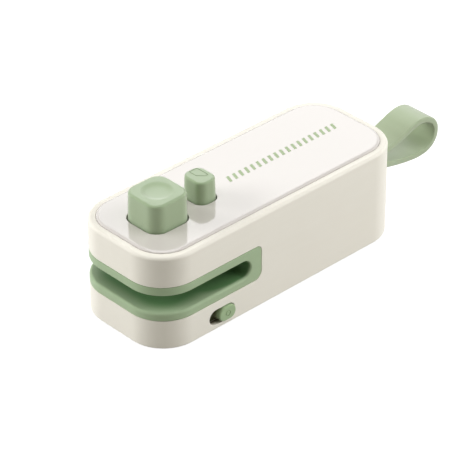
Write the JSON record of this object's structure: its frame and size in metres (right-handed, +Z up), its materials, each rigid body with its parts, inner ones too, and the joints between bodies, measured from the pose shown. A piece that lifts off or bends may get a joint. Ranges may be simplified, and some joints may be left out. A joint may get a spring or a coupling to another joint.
{
  "type": "handheld bag sealer",
  "caption": "Pocket heat sealer for bags: soft rectangular body, lined bag mouth open to front and sides, square press button, cutter button, lock slide and wrist loop.",
  "frame": {"origin": "centre of the body's underside, on the base cover", "axes": "+Z up, +X towards the wrist loop, bag mouth at -X, lock slide on the -Y side"},
  "size_m": [0.1214, 0.0367, 0.0386],
  "materials": {
    "shell_cream": "satin",
    "panel_gloss": "gloss",
    "sage_plastic": "satin",
    "sage_silicone": "matte",
    "black_plastic": "satin",
    "inner_plastic": "satin",
    "pad_silicone": "matte",
    "steel": "brushed",
    "spring_steel": "bright",
    "heater_resin": "matte",
    "heater_alloy": "brushed",
    "cover_tape": "satin",
    "brass": "bright",
    "red_wire": "satin",
    "black_wire": "satin",
    "board_green": "gloss",
    "cell_foil": "satin",
    "foam_tape": "matte"
  },
  "bodies": {
    "housing": {"main_shell": "shell_cream", "top_panel": "panel_gloss", "base_cover": "shell_cream", "mouth_liner": "sage_plastic", "case_screws": "steel", "seal_spring": "spring_steel", "cutter_spring": "spring_steel", "slide_switch": "black_plastic", "heater_block": "heater_resin", "heater_strip": "heater_alloy", "heater_tape": "cover_tape", "heater_terminals": "brass", "heater_leads": "red_wire", "seal_switch_board": "board_green", "seal_switch": "black_plastic", "seal_switch_leads": "black_wire", "main_board": "board_green", "board_screws": "steel", "board_chips": "black_plastic", "charge_port": "steel", "charge_contacts": "black_plastic", "battery": "cell_foil", "battery_tape": "foam_tape", "battery_leads": "red_wire", "loop_pin": "steel"},
    "seal_press_group": {"seal_button": "sage_plastic", "press_plunger": "black_plastic", "press_pad": "pad_silicone"},
    "cutter_group": {"cutter_button": "sage_plastic", "blade_holder": "inner_plastic", "cutter_blade": "steel"},
    "lock_group": {"lock_knob": "sage_plastic", "switch_lever": "black_plastic"},
    "loop_group": {"wrist_loop": "sage_silicone"}
  },
  "joints": [
    {"name": "seal_press", "type": "slide", "parent": "housing", "child": "seal_press_group", "axis": [0, 0, -1], "range_m": [0, 0.0052], "stiffness_N_per_m": 900, "springref_m": -0.002, "deforming": ["seal_spring"]},
    {"name": "cutter_press", "type": "slide", "parent": "housing", "child": "cutter_group", "axis": [0, 0, -1], "range_m": [0, 0.0062], "stiffness_N_per_m": 400, "springref_m": -0.002, "deforming": ["cutter_spring"]},
    {"name": "lock_slide", "type": "slide", "parent": "housing", "child": "lock_group", "axis": [-1, 0, 0], "range_m": [0, 0.003]},
    {"name": "loop_swing", "type": "hinge", "parent": "housing", "child": "loop_group", "pos_m": [0.04175, 0, 0.0154], "axis": [0, 1, 0], "range_deg": [-10, 10], "stiffness_Nm_per_rad": 0.02, "springref_deg": -0.74}
  ]
}
